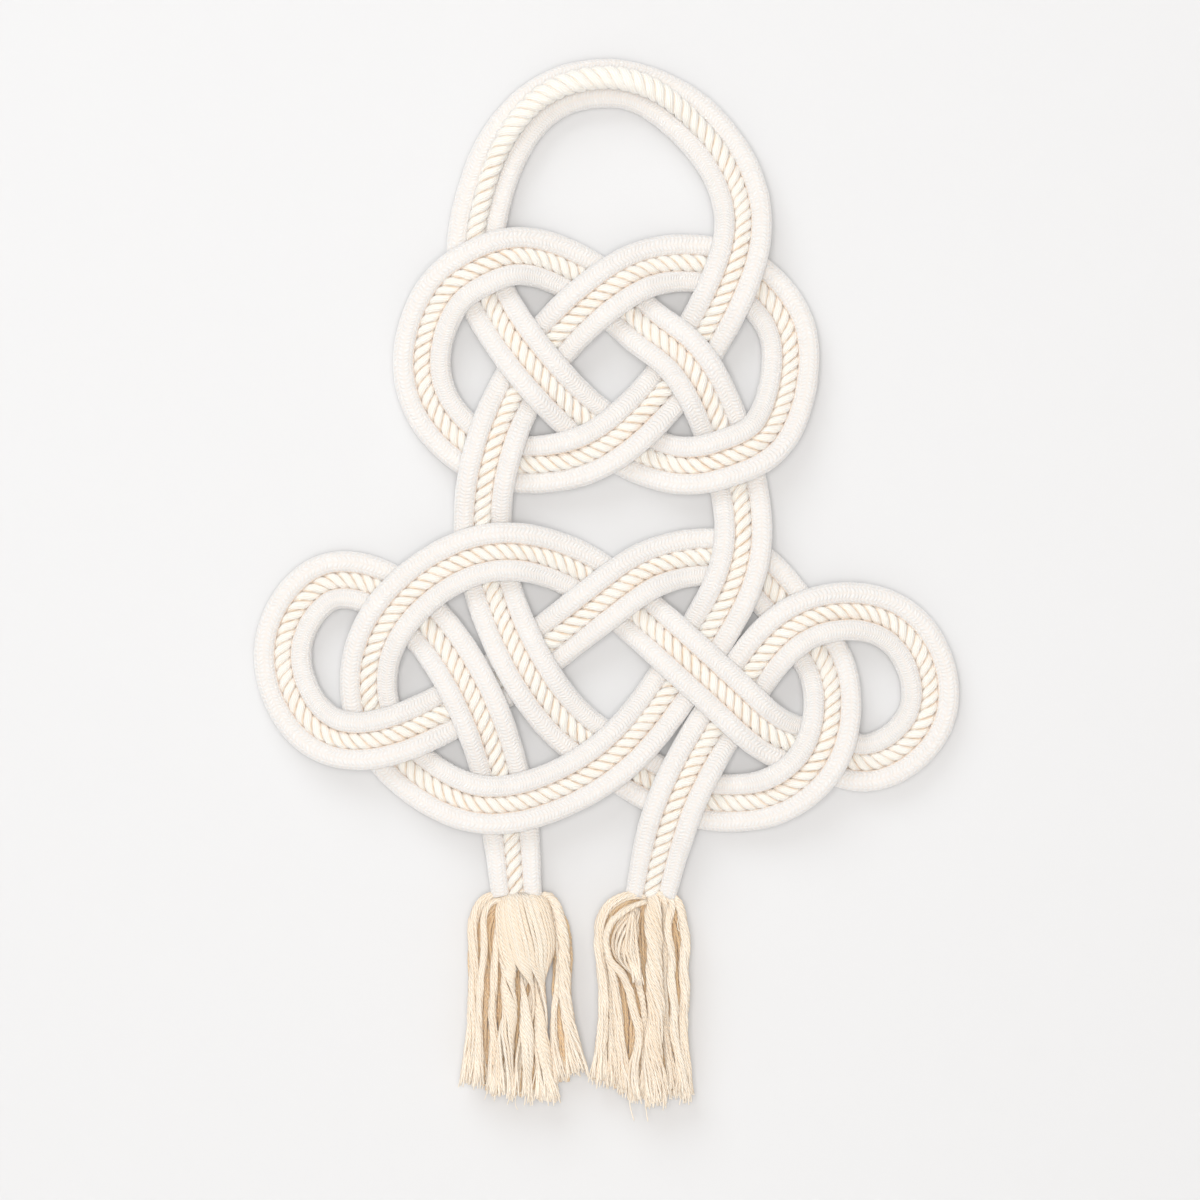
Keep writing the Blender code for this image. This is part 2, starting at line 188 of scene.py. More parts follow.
band = {
    "braidRadius": 8.8 * mm,
    "coreRadius": 7.0 * mm,
    "ropeGap": 0.3 * mm,
    "crossingGap": 0.5 * mm,
    "innerPull": 0.15,  # at the top of the loop the inner rope is drawn in by this share
    "coreSwell": 0.6,
    "endTaper": 0.13,
    "taperLength": 60 * mm,
    "samples": 20000,
    "coarseStep": 17.5 * mm,
    "fineStep": 2.0 * mm,
    "braidFull": 1.06,  # the soft ropes fill the seams between them
    "coreFull": 1.14,
    "coreForward": 1.6 * mm,
    "endDepth": 16.0 * mm,
}

settling = {
    "turns": 260,
    "firstStiffness": 0.9,
    "lastStiffness": 0.02,
    "fallBack": 0.995,
    "pushes": 6,
    "pushStrength": 1.6,
    "pointsPerSection": 4,
    "sameStretch": 90 * mm,
    "unsqueezed": 0.98,
}


def unit(vectors):
    return vectors / np.linalg.norm(vectors, axis=-1)[..., None]


def lengthAlong(points):
    return np.concatenate([[0.0], np.cumsum(np.linalg.norm(np.diff(points, axis=0), axis=1))])


def routePoints():
    points, squeeze, passes = [], [], {name: [] for name in crossingPlaces}
    for place in route:
        if place[1] in crossingPlaces:
            passes[place[1]].append((len(points), place[0]))
            place = crossingPlaces[place[1]]
        points.append((place[0] * mm, place[1] * mm))
        squeeze.append(place[2] if len(place) > 2 else 1.0)
    return np.array(points), np.array(squeeze), passes


def spline(points, knots=None):
    # a natural cubic through the points: its knots, and what reads it anywhere
    if knots is None:
        chords = np.linalg.norm(np.diff(points, axis=0), axis=1)
        knots = np.concatenate([[0.0], np.cumsum(chords ** 0.5)])
    spans = np.diff(knots)
    count = len(points)
    system, pull = np.eye(count), np.zeros((count, points.shape[1]))
    for i in range(1, count - 1):
        system[i, i - 1:i + 2] = spans[i - 1], 2 * (spans[i - 1] + spans[i]), spans[i]
        after, before = (points[i + 1] - points[i]) / spans[i], (points[i] - points[i - 1]) / spans[i - 1]
        pull[i] = 6 * (after - before)
    bend = np.linalg.solve(system, pull)

    def read(at):
        k = np.clip(np.searchsorted(knots, at) - 1, 0, count - 2)
        b = ((at - knots[k]) / spans[k])[:, None]
        a = 1 - b
        push = (a ** 3 - a) * bend[k] + (b ** 3 - b) * bend[k + 1]
        return a * points[k] + b * points[k + 1] + push * (spans[k] ** 2 / 6)[:, None]

    return knots, read


def bandSections(step):
    # distance along the band, its middle, its sideways direction, the squeeze and the crossings
    points, squeeze, passes = routePoints()
    knots, read = spline(points)
    fine = np.linspace(0.0, knots[-1], band["samples"])
    places = read(fine)
    along = lengthAlong(places)
    stations = np.linspace(0.0, along[-1], round(along[-1] / step) + 1)
    middles = np.stack([np.interp(stations, along, places[:, k]) for k in (0, 1)], axis=1)
    ahead = unit(np.gradient(middles, axis=0))
    ahead[0], ahead[-1] = (0.0, 1.0), (0.0, -1.0)  # both ends hang straight
    sideways = np.stack([-ahead[:, 1], ahead[:, 0]], axis=1)
    crossings = []
    for (first, kind), (second, _) in passes.values():
        distances = np.interp([knots[first], knots[second]], fine, along)
        crossings.append((*distances, 1.0 if kind == "over" else -1.0))
    squeezed = np.interp(stations, np.interp(knots, fine, along), squeeze)
    return stations, middles, sideways, squeezed, np.array(crossings)


def ropeLines(stations, middles, sideways, squeezed):
    # the three ropes' lines on the wall and their radii: inner braid, core, outer braid
    fromEnd = np.minimum(stations, stations[-1] - stations)
    taper = 1 - band["endTaper"] * np.clip(1 - fromEnd / band["taperLength"], 0.0, 1.0)
    reach = band["braidRadius"] + band["coreRadius"] + band["ropeGap"]
    braids = band["braidRadius"] * taper
    core = band["coreRadius"] * taper * (1 + band["coreSwell"] * (1 - squeezed))
    inner = -reach * taper * (1 - band["innerPull"] * (1 - squeezed))
    offsets = (inner, 0 * stations, reach * taper * squeezed)
    return [middles + sideways * offset[:, None] for offset in offsets], np.array([braids, core, braids])


def contacts(stations, lines, radii, squeezed, crossings):
    # pairs of points of two ropes that lie over each other, and the depth that must part them
    parts = settling["pointsPerSection"]
    substeps = np.arange((len(stations) - 1) * parts + 1) / parts
    section = np.minimum(substeps.astype(int), len(stations) - 2)
    part = substeps - section
    where = stations[section] * (1 - part) + stations[section + 1] * part
    fine = [line[section] * (1 - part)[:, None] + line[section + 1] * part[:, None] for line in lines]
    size = radii[:, section] * (1 - part) + radii[:, section + 1] * part
    over, under, needed = [], [], []
    for j, one in enumerate(fine):
        for k, other in enumerate(fine):
            reach = size[j][:, None] + size[k][None, :] + band["crossingGap"]
            flat = np.hypot(*(one[:, None, :] - other[None, :, :]).transpose(2, 0, 1))
            a, b = np.nonzero((flat < reach) & (where[None, :] - where[:, None] > settling["sameStretch"]))
            miss = np.abs(where[a][:, None] - crossings[:, 0]) + np.abs(where[b][:, None] - crossings[:, 1])
            firstOver = crossings[miss.argmin(axis=1), 2] > 0
            first = np.stack([np.full(len(a), j), a], axis=1)
            second = np.stack([np.full(len(b), k), b], axis=1)
            over.append(np.where(firstOver[:, None], first, second))
            under.append(np.where(firstOver[:, None], second, first))
            needed.append(np.sqrt(reach[a, b] ** 2 - flat[a, b] ** 2))
    tight = np.nonzero(np.interp(where, stations, squeezed) < settling["unsqueezed"])[0]
    for side in (0, 2):
        reach = size[1][tight][:, None] + size[side][tight][None, :] + band["ropeGap"]
        flat = np.hypot(*(fine[1][tight][:, None, :] - fine[side][tight][None, :, :]).transpose(2, 0, 1))
        a, b = np.nonzero(flat < reach)
        over.append(np.stack([np.full(len(a), 1), tight[a]], axis=1))
        under.append(np.stack([np.full(len(b), side), tight[b]], axis=1))
        needed.append(np.sqrt(reach[a, b] ** 2 - flat[a, b] ** 2))
    return section, part, np.concatenate(over), np.concatenate(under), np.concatenate(needed)


def settle(stations, lines, radii, squeezed, crossings):
    # how far each rope stands before the wall: straightened, then pushed apart, turn by turn
    section, part, over, under, needed = contacts(stations, lines, radii, squeezed, crossings)
    count = len(stations)
    bend = np.diff(np.eye(count), n=2, axis=0)
    depth = radii.copy()
    ends = np.zeros(count, bool)
    ends[[0, 1, -2, -1]] = True

    def read(who):
        rope, sub = who.T
        i, t = section[sub], part[sub]
        return depth[rope, i] * (1 - t) + depth[rope, i + 1] * t

    def push(who, by, total, weight):
        rope, sub = who.T
        i, t = section[sub], part[sub]
        for place, share in ((i, 1 - t), (i + 1, t)):
            np.add.at(total, (rope, place), by * share)
            np.add.at(weight, (rope, place), share * (np.abs(by) > 0))

    first, last = settling["firstStiffness"], settling["lastStiffness"]
    for turn in range(settling["turns"]):
        stiffness = first * (last / first) ** (turn / (settling["turns"] - 1))
        straighten = np.linalg.inv(np.eye(count) + stiffness * bend.T @ bend)
        depth = radii + (depth - radii) @ straighten * settling["fallBack"]
        for _ in range(settling["pushes"]):
            short = np.maximum(needed - (read(over) - read(under)), 0.0)
            total, weight = np.zeros_like(depth), np.zeros_like(depth)
            push(over, short * 0.5, total, weight)
            push(under, -short * 0.5, total, weight)
            depth += total / np.maximum(weight, 1.0) * settling["pushStrength"]
            depth = np.maximum(depth, radii)
            depth[:, ends] = band["endDepth"]
    return depth


def finePaths():
    # fine stations, each rope's middle line in space, the sideways directions and the radii
    stations, middles, sideways, squeezed, crossings = bandSections(band["coarseStep"])
    lines, radii = ropeLines(stations, middles, sideways, squeezed)
    depth = settle(stations, lines, radii, squeezed, crossings)
    _, readDepth = spline(depth.T, stations)
    stations, middles, sideways, squeezed, _ = bandSections(band["fineStep"])
    lines, radii = ropeLines(stations, middles, sideways, squeezed)
    deep = readDepth(stations).T
    paths = [np.stack([line[:, 0], -out, line[:, 1]], axis=1) for line, out in zip(lines, deep)]
    return stations, paths, sideways, radii


stations, ropePaths, bandSideways, ropeRadii = finePaths()
print(f"band laid out, {stations[-1]:.3f} m long")

# what the pieces' shapes are made with

noise = {
    "octaves": 3,
    "turns": (0.7, 1.4),
    "quicker": 1.7,  # each octave's waves are so much shorter
    "starts": (0, 6.28),
    "divisor": 1.8,
}


def smoothNoise(at, wave, seed):
    # a smooth wander between about -1 and 1 along a length
    rng = np.random.default_rng(seed)
    total = np.zeros_like(at)
    for octave in range(noise["octaves"]):
        turns = rng.uniform(*noise["turns"]) * (noise["quicker"] ** octave)
        total += np.sin(2 * math.pi * at * turns / wave + rng.uniform(*noise["starts"])) / (1 + octave)
    return total / noise["divisor"]


def rings(path, size, side, front, sideShare, frontShare):
    # a tube's points: the same ring of shares at every station, turned and sized to it
    ring = sideShare[None, :, None] * side[:, None, :] + frontShare[None, :, None] * front[:, None, :]
    return path[:, None, :] + size[:, None, None] * ring


def sleeve(places, across, along):
    # points, faces and UVs of one closed tube. places: sections x sides x 3. across: the UV
    # across at each side, with one more for the last corner. along: the UV along at each section
    count, sides = places.shape[:2]
    index = np.arange(count * sides).reshape(count, sides)
    onward = np.roll(index, -1, axis=1)
    quads = np.stack([index[:-1], onward[:-1], onward[1:], index[1:]], axis=-1).reshape(-1, 4)
    u0 = np.broadcast_to(across[:-1], (count - 1, sides))
    u1 = np.broadcast_to(across[1:], (count - 1, sides))
    v0 = np.broadcast_to(along[:-1, None], (count - 1, sides))
    v1 = np.broadcast_to(along[1:, None], (count - 1, sides))
    corners = np.stack([np.stack([u0, v0], -1), np.stack([u1, v0], -1),
                        np.stack([u1, v1], -1), np.stack([u0, v1], -1)], axis=2).reshape(-1, 2)
    return places.reshape(-1, 3), quads, corners, (index[0][::-1], index[-1])


def addPiece(name, tubes, material, node):
    # one object from several sleeves
    points, faces, uvs, smooth, start = [], [], [], [], 0
    for places, quads, corners, caps in tubes:
        points.append(places)
        faces.extend((quads + start).tolist())
        uvs.append(corners)
        smooth += [True] * len(quads) + [False] * len(caps)
        for cap in caps:
            faces.append((cap + start).tolist())
            uvs.append(np.zeros((len(cap), 2)))
        start += len(places)
    data = bpy.data.meshes.new(name)
    data.from_pydata(np.concatenate(points).tolist(), [], faces)
    layer = data.uv_layers.new(name="lay")
    layer.data.foreach_set("uv", np.concatenate(uvs).astype(np.float32).ravel())
    data.polygons.foreach_set("use_smooth", smooth)
    data.materials.append(material)
    piece = bpy.data.objects.new(name, data)
    scene.collection.objects.link(piece)
    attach(piece, "root")
    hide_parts(node)
    print(f"{name}: {sum(len(face) - 2 for face in faces)} triangles")


# the cottons

cotton = {
    "roughness": 0.92,
    "gloss": 0.15,
    "sheenRoughness": 0.45,
    "softReach": (1.0, 0.9, 0.8),
    "softDepth": 1.4 * mm,
    "patchDetail": 3.0,
    "speckDetail": 4.0,
    "waverDetail": 2.0,
    "columnBulge": 0.6,
    "columnsBefore": 64.0,  # keeps a column's number above 0, so that odd and even stay apart
}

nodeRows = {"length": 9, "across": 190, "down": 260, "left": -1500, "top": 700}


def plug(tree, value, socket):
    # a link, where the value is another node's output
    if isinstance(value, bpy.types.NodeSocket):
        tree.links.new(value, socket)
    else:
        socket.default_value = value


def feed(tree, node, **inputs):
    for name, value in inputs.items():
        plug(tree, value, node.inputs[name])
    return node


def addNode(tree, kind, **inputs):
    # nodes stand in rows, in the order of their making
    node = tree.nodes.new(kind)
    row, place = divmod(len(tree.nodes), nodeRows["length"])
    node.location = (nodeRows["left"] + nodeRows["across"] * place, nodeRows["top"] - nodeRows["down"] * row)
    return feed(tree, node, **inputs)


def maths(tree, operation, *values, clamp=False):
    node = addNode(tree, "ShaderNodeMath")
    node.operation, node.use_clamp = operation, clamp
    for k, value in enumerate(values):
        plug(tree, value, node.inputs[k])
    return node.outputs[0]


def addNoise(tree, scale, detail):
    where = addNode(tree, "ShaderNodeTexCoord")
    node = addNode(tree, "ShaderNodeTexNoise", Vector=where.outputs["Object"], Scale=scale, Detail=detail)
    return node.outputs["Fac"]


def mixColours(tree, share, first, second):
    node = addNode(tree, "ShaderNodeMix")
    node.data_type = "RGBA"
    return feed(tree, node, Factor=share, A=first, B=second).outputs["Result"]


def newGroup(name, inputs, outputs):
    # the sockets' names with their first values: a number, or four for a colour
    tree = bpy.data.node_groups.new(name, "ShaderNodeTree")
    for way, sockets in (("INPUT", inputs), ("OUTPUT", outputs)):
        for label, value in sockets.items():
            kind = "NodeSocketColor" if isinstance(value, tuple) else "NodeSocketFloat"
            tree.interface.new_socket(label, in_out=way, socket_type=kind).default_value = value
    return tree, addNode(tree, "NodeGroupInput").outputs, addNode(tree, "NodeGroupOutput")


def placeGroup(tree, group, **inputs):
    node = addNode(tree, "ShaderNodeGroup")
    node.node_tree = group
    return feed(tree, node, **inputs)


def dome(tree, share):
    # round: 1 in the middle of a share that runs from 0 to 1, 0 at its ends
    ramp = maths(tree, "PINGPONG", maths(tree, "MULTIPLY", share, 2.0), 1.0)
    return maths(tree, "SINE", maths(tree, "MULTIPLY", ramp, math.pi / 2))


def makePlait():
    # short stitches in columns, leaning left and right by turns, as on a braided rope
    tree, enter, leave = newGroup("plait", {
        "Across": 0.0, "Along": 0.0, "Column": 3.5 * mm, "Pitch": 2.8 * mm, "Lean": 0.45, "Waver": 0.0,
    }, {"Height": 0.0, "Groove": 0.0})
    column = maths(tree, "DIVIDE", enter["Across"], enter["Column"])
    place = maths(tree, "FRACT", column)
    number = maths(tree, "ADD", maths(tree, "FLOOR", column), cotton["columnsBefore"])
    odd = maths(tree, "MODULO", number, 2.0)
    sign = maths(tree, "SUBTRACT", maths(tree, "MULTIPLY", odd, 2.0), 1.0)
    lean = maths(tree, "MULTIPLY", sign, enter["Lean"])
    shift = maths(tree, "MULTIPLY", lean, maths(tree, "SUBTRACT", place, 0.5))
    rows = maths(tree, "DIVIDE", enter["Along"], enter["Pitch"])
    stitch = maths(tree, "ADD", maths(tree, "ADD", rows, shift), enter["Waver"])
    stitch = dome(tree, maths(tree, "FRACT", stitch))
    bulge = maths(tree, "POWER", dome(tree, place), cotton["columnBulge"])
    height = maths(tree, "MULTIPLY", stitch, bulge)
    feed(tree, leave, Height=height, Groove=maths(tree, "SUBTRACT", 1.0, height))
    return tree


def makeYarnLines():
    # fine yarns lying side by side along a strand
    tree, enter, leave = newGroup("yarnLines", {
        "Across": 0.0, "Along": 0.0, "Spacing": 1.2 * mm, "Slant": 0.2, "Waver": 0.0,
    }, {"Height": 0.0, "Groove": 0.0})
    slid = maths(tree, "MULTIPLY_ADD", enter["Along"], enter["Slant"], enter["Across"])
    line = maths(tree, "ADD", maths(tree, "DIVIDE", slid, enter["Spacing"]), enter["Waver"])
    height = dome(tree, maths(tree, "FRACT", line))
    feed(tree, leave, Height=height, Groove=maths(tree, "SUBTRACT", 1.0, height))
    return tree


def makeCottonTone():
    # cotton's uneven colour, broad patches and small specks, with painted shade in the Deep colour where the
    # Groove share asks for it
    tree, enter, leave = newGroup("cottonTone", {
        "Pale": (0.9, 0.87, 0.82, 1.0), "Warm": (0.85, 0.78, 0.68, 1.0), "Deep": (0.7, 0.55, 0.4, 1.0),
        "Groove": 0.0, "Patches": 40.0, "Specks": 900.0, "Amount": 0.4,
    }, {"Colour": (1.0, 1.0, 1.0, 1.0), "Speck": 0.0})
    patches = addNoise(tree, enter["Patches"], cotton["patchDetail"])
    specks = addNoise(tree, enter["Specks"], cotton["speckDetail"])
    both = maths(tree, "SUBTRACT", maths(tree, "ADD", patches, specks), 0.5)
    tone = mixColours(tree, maths(tree, "MULTIPLY", both, enter["Amount"]), enter["Pale"], enter["Warm"])
    # the Groove share mixes in the Deep colour: painted shade
    feed(tree, leave, Colour=mixColours(tree, enter["Groove"], tone, enter["Deep"]), Speck=specks)
    return tree


plaitGroup = makePlait()
yarnLinesGroup = makeYarnLines()
cottonToneGroup = makeCottonTone()


def startCotton(name, look):
    # a new material, its nodes and shader, and how far across and along the rope a point is
    material = bpy.data.materials.new(name)
    material.use_nodes = True
    tree = material.node_tree
    surface = feed(tree, tree.nodes["Principled BSDF"], **{
        "Roughness": cotton["roughness"], "Specular IOR Level": cotton["gloss"],
        "Sheen Weight": look["sheen"], "Sheen Roughness": cotton["sheenRoughness"],
        "Subsurface Weight": look["softness"], "Subsurface Radius": cotton["softReach"],
        "Subsurface Scale": cotton["softDepth"]})
    layer = addNode(tree, "ShaderNodeUVMap")
    layer.uv_map = "lay"
    ways = addNode(tree, "ShaderNodeSeparateXYZ", Vector=layer.outputs["UV"]).outputs
    return material, tree, surface, ways["X"], ways["Y"]


def finishCotton(tree, surface, look, shade, height):
    # the colour and the relief, from how deep the painted shade and how high the pattern is
    tone = placeGroup(tree, cottonToneGroup, Groove=shade, Patches=look["patches"], Specks=look["specks"],
                      Amount=look["unevenness"], Pale=(*look["pale"], 1), Warm=(*look["warm"], 1),
                      Deep=(*look["deep"], 1)).outputs
    height = maths(tree, "MULTIPLY_ADD", tone["Speck"], look["speckRelief"], height)
    bump = addNode(tree, "ShaderNodeBump", Height=height, Distance=look["relief"], Strength=1.0)
    feed(tree, surface, **{"Base Color": tone["Colour"], "Normal": bump.outputs["Normal"]})
    return bump


def waver(tree, look):
    # a small uneven shift for a pattern
    noisy = addNoise(tree, look["waverScale"], cotton["waverDetail"])
    return maths(tree, "MULTIPLY", noisy, look["waverReach"])


def braidCotton(look):
    material, tree, surface, across, along = startCotton("braidedCotton", look)
    plait = placeGroup(tree, plaitGroup, Across=across, Along=along, Column=look["column"],
                       Pitch=look["pitch"], Lean=look["lean"], Waver=waver(tree, look)).outputs
    # painted shade: the side against the core is a little darker and warmer, where the core shades it
    away = maths(tree, "ABSOLUTE", maths(tree, "ADD", across, math.pi / 2 * band["braidRadius"]))
    seam = maths(tree, "SUBTRACT", look["seamReach"], away)
    seam = maths(tree, "DIVIDE", seam, look["seamWidth"], clamp=True)
    # painted shade in the grooves between the stitches
    grooves = maths(tree, "MULTIPLY", plait["Groove"], look["grooveShade"])
    shade = maths(tree, "MULTIPLY_ADD", seam, look["seamShade"], grooves)
    finishCotton(tree, surface, look, shade, plait["Height"])
    return material


def twistCotton(look):
    material, tree, surface, across, along = startCotton("twistedCotton", look)
    lines = placeGroup(tree, yarnLinesGroup, Across=across, Along=along, Spacing=look["yarn"],
                       Slant=look["slant"], Waver=waver(tree, look)).outputs
    # painted shade: the valleys between the strands are darker and warmer
    valley = maths(tree, "SUBTRACT", maths(tree, "ABSOLUTE", across), look["valleyFrom"])
    valley = maths(tree, "DIVIDE", valley, look["valleyWidth"], clamp=True)
    # painted shade in the grooves between the fine yarns
    grooves = maths(tree, "MULTIPLY", lines["Groove"], look["grooveShade"])
    shade = maths(tree, "MULTIPLY_ADD", valley, look["valleyShade"], grooves)
    finishCotton(tree, surface, look, shade, lines["Height"])
    return material


# the two braided ropes

braidLook = {
    "sides": 32,
    "square": 2.9,  # 2 is round, more is pressed flatter
    "lumps": 0.018,
    "lumpWave": 45 * mm,
    "seed": 11,
    "column": 3.95 * mm,  # fourteen columns round the rope
    "pitch": 3.0 * mm,
    "lean": 0.6,
    "waverScale": 120.0,
    "waverReach": 1.1,
    "relief": 0.6 * mm,
    "speckRelief": 0.35,
    "pale": (0.797, 0.793, 0.782),
    "warm": (0.787, 0.768, 0.737),
    # the colour of the painted shade by the core and in the grooves
    "deep": (0.86, 0.52, 0.23),
    "grooveShade": 0.16,
    "unevenness": 0.55,
    "patches": 25.0,
    "specks": 700.0,
    "seamReach": 5.3 * mm,
    "seamWidth": 2.4 * mm,
    "seamShade": 0.85,
    "sheen": 1.0,
    "softness": 0.45,
}


def ropeFrame(path):
    # the directions across the band and out of it
    ahead = unit(np.gradient(path, axis=0))
    side = np.stack([bandSideways[:, 0], np.zeros(len(path)), bandSideways[:, 1]], axis=1)
    side = unit(side - ahead * (side * ahead).sum(axis=1)[:, None])
    return side, np.cross(ahead, side)


def squared(wave, power):
    return np.copysign(np.abs(wave) ** power, wave)


def addBraid(name, which, facing, material, node):
    # facing is 1 where the core lies on the rope's first side, -1 where on its other side
    look = braidLook
    side, front = ropeFrame(ropePaths[which])
    angles = np.linspace(0, 2 * math.pi, look["sides"] + 1) - math.pi / 2  # starts at the wall
    lumps = 1 + look["lumps"] * smoothNoise(stations, look["lumpWave"], look["seed"] + which)
    size = ropeRadii[which] * band["braidFull"] * lumps
    shares = [squared(wave, 2 / look["square"]) for wave in (np.cos(angles[:-1]), np.sin(angles[:-1]))]
    places = rings(ropePaths[which], size, side, front, *shares)
    across = facing * (angles - math.pi / 2) * band["braidRadius"]
    addPiece(name, [sleeve(places, across, stations)], material, node)


braidMaterial = braidCotton(braidLook)
addBraid("braidOne", 0, 1, braidMaterial, "braided_rope_1")
addBraid("braidTwo", 2, -1, braidMaterial, "braided_rope_2")

# the twisted rope between them

twistLook = {
    "strands": 3,
    "sides": 14,
    "square": 2.7,
    "lead": 30 * mm,  # one strand's full turn
    "leadWander": 0.10,
    "leadWave": 160 * mm,
    "leadSeed": 5,
    "centre": 0.55,  # a strand's middle and half sizes, as shares of the rope's radius
    "outward": 0.48,
    "sideward": 0.48,
    "wander": 0.035,
    "wanderWave": 70 * mm,
    "wanderSeed": 21,
    "patternRadius": 0.5,
    "yarn": 1.8 * mm,
    "slant": 0.18,
    "waverScale": 160.0,
    "waverReach": 1.5,
    "relief": 0.5 * mm,
    "speckRelief": 0.3,
    "pale": (0.97, 0.925, 0.855),
    "warm": (0.95, 0.88, 0.78),
    # the colour of the painted shade in the valleys and grooves
    "deep": (0.86, 0.64, 0.42),
    "grooveShade": 0.24,
    "unevenness": 0.6,
    "patches": 40.0,
    "specks": 900.0,
    "valleyFrom": 3.2 * mm,
    "valleyWidth": 2.4 * mm,
    "valleyShade": 0.9,
    "sheen": 0.7,
    "softness": 0.5,
}


def addStrands(material):
    look = twistLook
    path = ropePaths[1] - np.array([0.0, band["coreForward"], 0.0])
    radii = ropeRadii[1] * band["coreFull"]
    side, front = ropeFrame(path)
    rate = 1 + look["leadWander"] * smoothNoise(stations, look["leadWave"], look["leadSeed"])
    lay = 2 * math.pi * np.cumsum(rate) * (stations[1] - stations[0]) / look["lead"]
    angles = np.linspace(-math.pi, math.pi, look["sides"] + 1)
    across = angles * look["patternRadius"] * band["coreRadius"]
    for strand in range(look["strands"]):
        phase = lay + 2 * math.pi * strand / look["strands"]
        waves = np.stack([np.cos(phase), np.sin(phase)])
        # the strand's middle goes round a rounded square, and its own ring leans with it
        sideShare, frontShare = squared(waves, 2 / look["square"])
        pressed = sideShare[:, None] * side + frontShare[:, None] * front
        sideShare, frontShare = squared(waves, 2 - 2 / look["square"])
        outward = unit(sideShare[:, None] * side + frontShare[:, None] * front)
        wandering = smoothNoise(stations, look["wanderWave"], look["wanderSeed"] + strand)
        size = radii * (1 + look["wander"] * wandering)
        middle = path + pressed * (radii * look["centre"])[:, None]
        onward = unit(np.gradient(middle, axis=0))
        outward = unit(outward - onward * (outward * onward).sum(axis=1)[:, None])
        places = rings(middle, size, outward, np.cross(onward, outward),
                       look["outward"] * np.cos(angles[:-1]), look["sideward"] * np.sin(angles[:-1]))
        tube = sleeve(places, across, lengthAlong(middle))
        addPiece(f"twistStrand{strand + 1}", [tube], material, "twisted_rope")


addStrands(twistCotton(twistLook))

# the two tassels

tasselLook = {
    "yarnRadius": 1.35 * mm,
    "yarnShare": 0.48,
    "yarnSides": 6,
    "step": 5 * mm,
    "fewest": 8,  # sections of a yarn
    "lumps": 0.13,
    "lumpShare": 0.12,
    "slim": 0.15,  # a yarn thins over its last part
    "slimFrom": 0.8,
    "slimLength": 0.2,
    "slide": 0.2,
    "waver": 0.6 * mm,
    "waverWave": 34 * mm,
    "waverDepth": 0.6,
    "waverStart": 0.4,
    "waverGrow": 0.9,
    "goldenTurn": 2.39996,  # how a lock's yarns are set round its middle
    "innermost": 0.6,
    "packing": 0.42,
    "leastRoom": 0.3 * mm,
    "windEnd": 1.05,
    "windPower": 1.6,
    "fanLength": 55 * mm,  # over its last part a lock opens out
    "fan": 0.35,
    "fanPower": 1.5,
    "tipLoss": 9 * mm,
    "tipThreads": 2,
    "tipSections": 7,
    "tipSides": 5,
    "tipLength": 36 * mm,
    "tipLonger": (-2.0, 4.0),
    "tipRadius": 0.65 * mm,
    "tipSpread": 2.2 * mm,
    "tipDepth": 0.7,
    "tipPower": 1.5,
    "straySections": 14,
    "straySides": 4,
    "ply": 2.4 * mm,
    "plySlant": 0.5,
    "relief": 0.7 * mm,
    "speckRelief": 0.4,
    "threadRelief": 0.3,
    "frontTones": (0, 4),  # the palest first
    # the locks at the back get the darkest tones: painted shade deep in the tassel
    "backShadeTones": (10, 13),
    "tipTones": (-1, 0),  # less than 0 marks a loose thread, and gives it the palest tone: painted light
    "toneShade": 0.06875,
    "pale": (1.0, 0.925, 0.79),
    "warm": (1.0, 0.855, 0.65),
    # the colour of the painted shade
    "deep": (0.94, 0.60, 0.28),
    "unevenness": 0.8,
    "patches": 260.0,
    "specks": 900.0,
    "grooveShade": 0.30,
    "edgeFrom": 1.05 * mm,  # painted shade: a yarn's sides are darker and warmer than its front
    "edgeWidth": 0.7 * mm,
    "edgeShade": 0.5,
    "backWidth": 1.0 * mm,
    "backPale": 0.85,
    "sheen": 0.6,
    "softness": 0.0,
}

